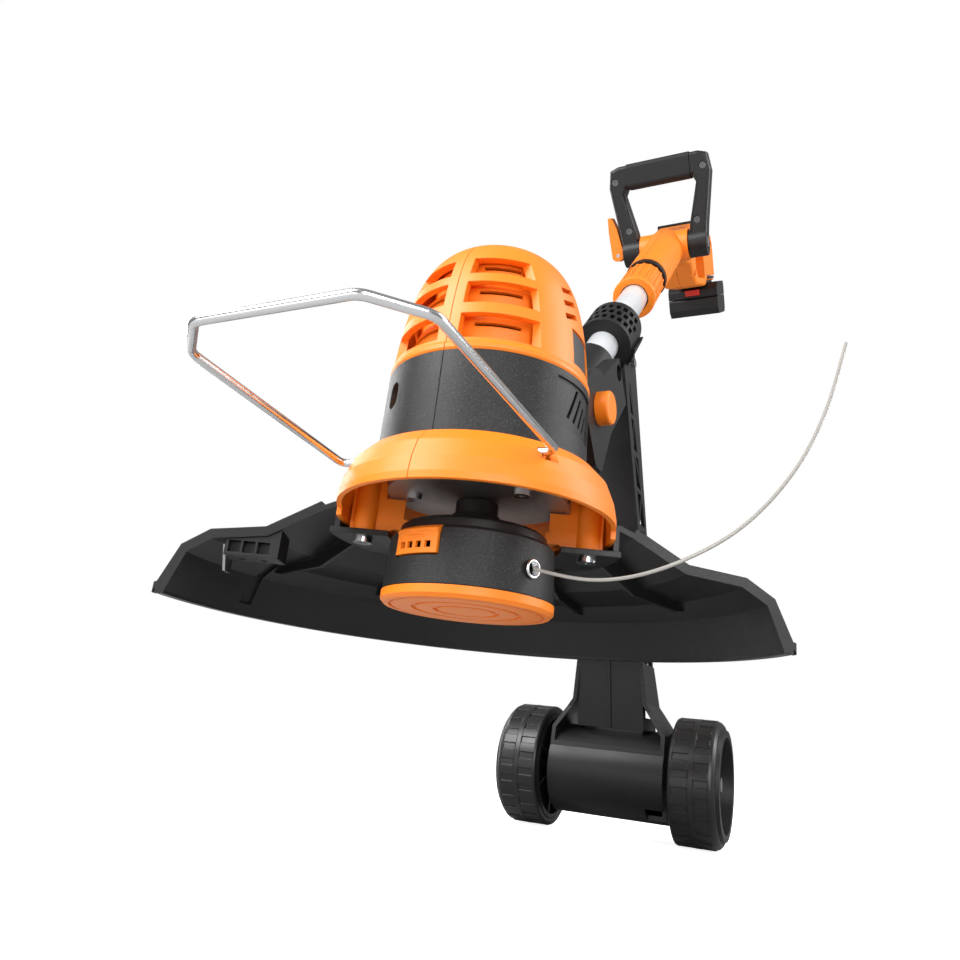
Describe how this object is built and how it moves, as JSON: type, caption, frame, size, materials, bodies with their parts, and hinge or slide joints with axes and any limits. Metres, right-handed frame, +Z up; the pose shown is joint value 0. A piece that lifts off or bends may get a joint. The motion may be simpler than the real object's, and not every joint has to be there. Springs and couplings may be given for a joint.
{
  "type": "string trimmer",
  "caption": "Cordless string trimmer with a single line spool head, folding wire plant guard, tilting and telescoping shaft, loop handle and edging wheels",
  "frame": {"origin": "centre of the spool cap's lower face, on the spool axis", "axes": "+Z up along the spool axis, -Y to the front where the wire plant guard folds out, the shaft rises towards +Y, +X completes the right hand frame and is the tilt button's side"},
  "size_m": [0.3389, 0.8009, 0.726],
  "materials": {
    "orange_plastic": "fine textured moulded nylon",
    "black_plastic": "fine textured moulded nylon",
    "soft_grip": "soft overmould",
    "tyre": "moulded soft plastic tread",
    "bright_steel": "zinc plated",
    "steel": "machined",
    "motor_plate": "cast, unpolished",
    "tube_paint": "smooth white coat over aluminium",
    "cutting_line": "clear nylon",
    "reel": "natural nylon",
    "label": "printed plate left blank",
    "battery_button": "smooth"
  },
  "bodies": {
    "handle": {"handle_shell_left": "orange_plastic", "handle_shell_right": "orange_plastic", "handle_screws": "bright_steel", "rear_grip": "soft_grip", "switch_and_terminals": "black_plastic", "outer_sleeve": "black_plastic", "boss_bolt": "steel"},
    "trigger": {"trigger": "black_plastic"},
    "lock_off": {"lock_off_button": "black_plastic"},
    "battery": {"battery_case": "black_plastic", "battery_lid": "black_plastic", "battery_cells": "steel"},
    "battery_latch": {"battery_button": "battery_button"},
    "loop": {"loop_handle": "black_plastic", "loop_grip": "soft_grip", "loop_screws": "bright_steel"},
    "cam_lever": {"cam_lever": "orange_plastic"},
    "lock_nut": {"lock_nut": "orange_plastic"},
    "bush": {"tube_bush": "black_plastic"},
    "tube": {"lower_tube": "tube_paint", "tilt_yoke": "black_plastic", "tilt_pin": "bright_steel", "tilt_spring": "steel", "tube_bolts": "bright_steel", "arm_clamp": "black_plastic", "wheel_arm": "black_plastic", "axle": "steel", "axle_clips": "bright_steel"},
    "wheel_left": {"wheel_hub_left": "black_plastic", "tyre_left": "tyre"},
    "wheel_right": {"wheel_hub_right": "black_plastic", "tyre_right": "tyre"},
    "tilt_button": {"tilt_button": "orange_plastic"},
    "head": {"motor_can": "steel", "motor_bearings": "steel", "motor_plate": "motor_plate", "label_plate": "label", "head_screws": "bright_steel", "motor_housing_left": "black_plastic", "motor_housing_right": "black_plastic", "motor_cover_left": "orange_plastic", "motor_cover_right": "orange_plastic", "skirt_left": "orange_plastic", "skirt_right": "orange_plastic", "cutting_guard": "black_plastic", "guard_screws": "bright_steel", "blade_holder": "black_plastic", "line_blade": "steel"},
    "plant_guard": {"plant_guard": "bright_steel"},
    "spool": {"spool_cap": "orange_plastic", "spool_drum": "black_plastic", "line_eyelet": "bright_steel", "line_reel": "reel", "wound_line": "cutting_line", "spool_spring": "steel", "drive_hub": "black_plastic", "motor_rotor": "steel", "cutting_line": "cutting_line"},
    "cap_tab_front": {"cap_tab_front": "orange_plastic"},
    "cap_tab_rear": {"cap_tab_rear": "orange_plastic"}
  },
  "joints": [
    {"name": "trigger_pull", "type": "hinge", "parent": "handle", "child": "trigger", "pos_m": [0, 0.47753, 0.52346], "axis": [1, 0, 0], "range_deg": [0, 6], "stiffness_Nm_per_rad": 0.5, "springref_deg": -5.73},
    {"name": "lock_off_push", "type": "slide", "parent": "handle", "child": "lock_off", "axis": [1, 0, 0], "range_m": [0, 0.003], "stiffness_N_per_m": 400, "springref_m": -0.001},
    {"name": "battery_slide", "type": "slide", "parent": "handle", "child": "battery", "axis": [0, 0.848, 0.5299], "range_m": [0, 0.08]},
    {"name": "battery_latch_push", "type": "slide", "parent": "battery", "child": "battery_latch", "axis": [0, 0.848, 0.5299], "range_m": [0, 0.002], "stiffness_N_per_m": 400, "springref_m": -0.001},
    {"name": "loop_swing", "type": "hinge", "parent": "handle", "child": "loop", "pos_m": [0, 0.40343, 0.47598], "axis": [1, 0, 0], "range_deg": [-35, 50]},
    {"name": "lever_open", "type": "hinge", "parent": "handle", "child": "cam_lever", "pos_m": [-0.053, 0.40343, 0.47598], "axis": [0, -0.8406, -0.5417], "range_deg": [0, 95]},
    {"name": "lock_nut_turn", "type": "hinge", "parent": "handle", "child": "lock_nut", "pos_m": [0, 0.27893, 0.33915], "axis": [0, 0.673, 0.7396], "range_deg": [0, 90]},
    {"name": "edging_twist", "type": "hinge", "parent": "handle", "child": "bush", "pos_m": [0, 0.28902, 0.35024], "axis": [0, 0.673, 0.7396], "range_deg": [0, 180]},
    {"name": "telescope", "type": "slide", "parent": "bush", "child": "tube", "axis": [0, -0.673, -0.7396], "range_m": [0, 0.1]},
    {"name": "wheel_left_spin", "type": "hinge", "parent": "tube", "child": "wheel_left", "pos_m": [0.066, 0.2875, -0.076], "axis": [1, 0, 0], "continuous": true},
    {"name": "wheel_right_spin", "type": "hinge", "parent": "tube", "child": "wheel_right", "pos_m": [-0.066, 0.2875, -0.076], "axis": [1, 0, 0], "continuous": true},
    {"name": "tilt_button_push", "type": "slide", "parent": "tube", "child": "tilt_button", "axis": [-1, 0, 0], "range_m": [0, 0.0028], "stiffness_N_per_m": 600, "springref_m": -0.001},
    {"name": "head_tilt", "type": "hinge", "parent": "tube", "child": "head", "pos_m": [0, 0.11, 0.1535], "axis": [1, 0, 0], "range_deg": [-40, 18]},
    {"name": "plant_guard_fold", "type": "hinge", "parent": "head", "child": "plant_guard", "pos_m": [0, -0.042, 0.066], "axis": [-1, 0, 0], "range_deg": [0, 92]},
    {"name": "spool_spin", "type": "hinge", "parent": "head", "child": "spool", "pos_m": [0, 0, 0.03], "axis": [0, 0, -1], "continuous": true, "deforming": ["cutting_line"]},
    {"name": "cap_tab_front_push", "type": "slide", "parent": "spool", "child": "cap_tab_front", "axis": [0.2385, 0.9711, 0], "range_m": [0, 0.0018], "stiffness_N_per_m": 400, "springref_m": -0.001},
    {"name": "cap_tab_rear_push", "type": "slide", "parent": "spool", "child": "cap_tab_rear", "axis": [-0.2385, -0.9711, 0], "range_m": [0, 0.0018], "stiffness_N_per_m": 400, "springref_m": -0.001}
  ]
}
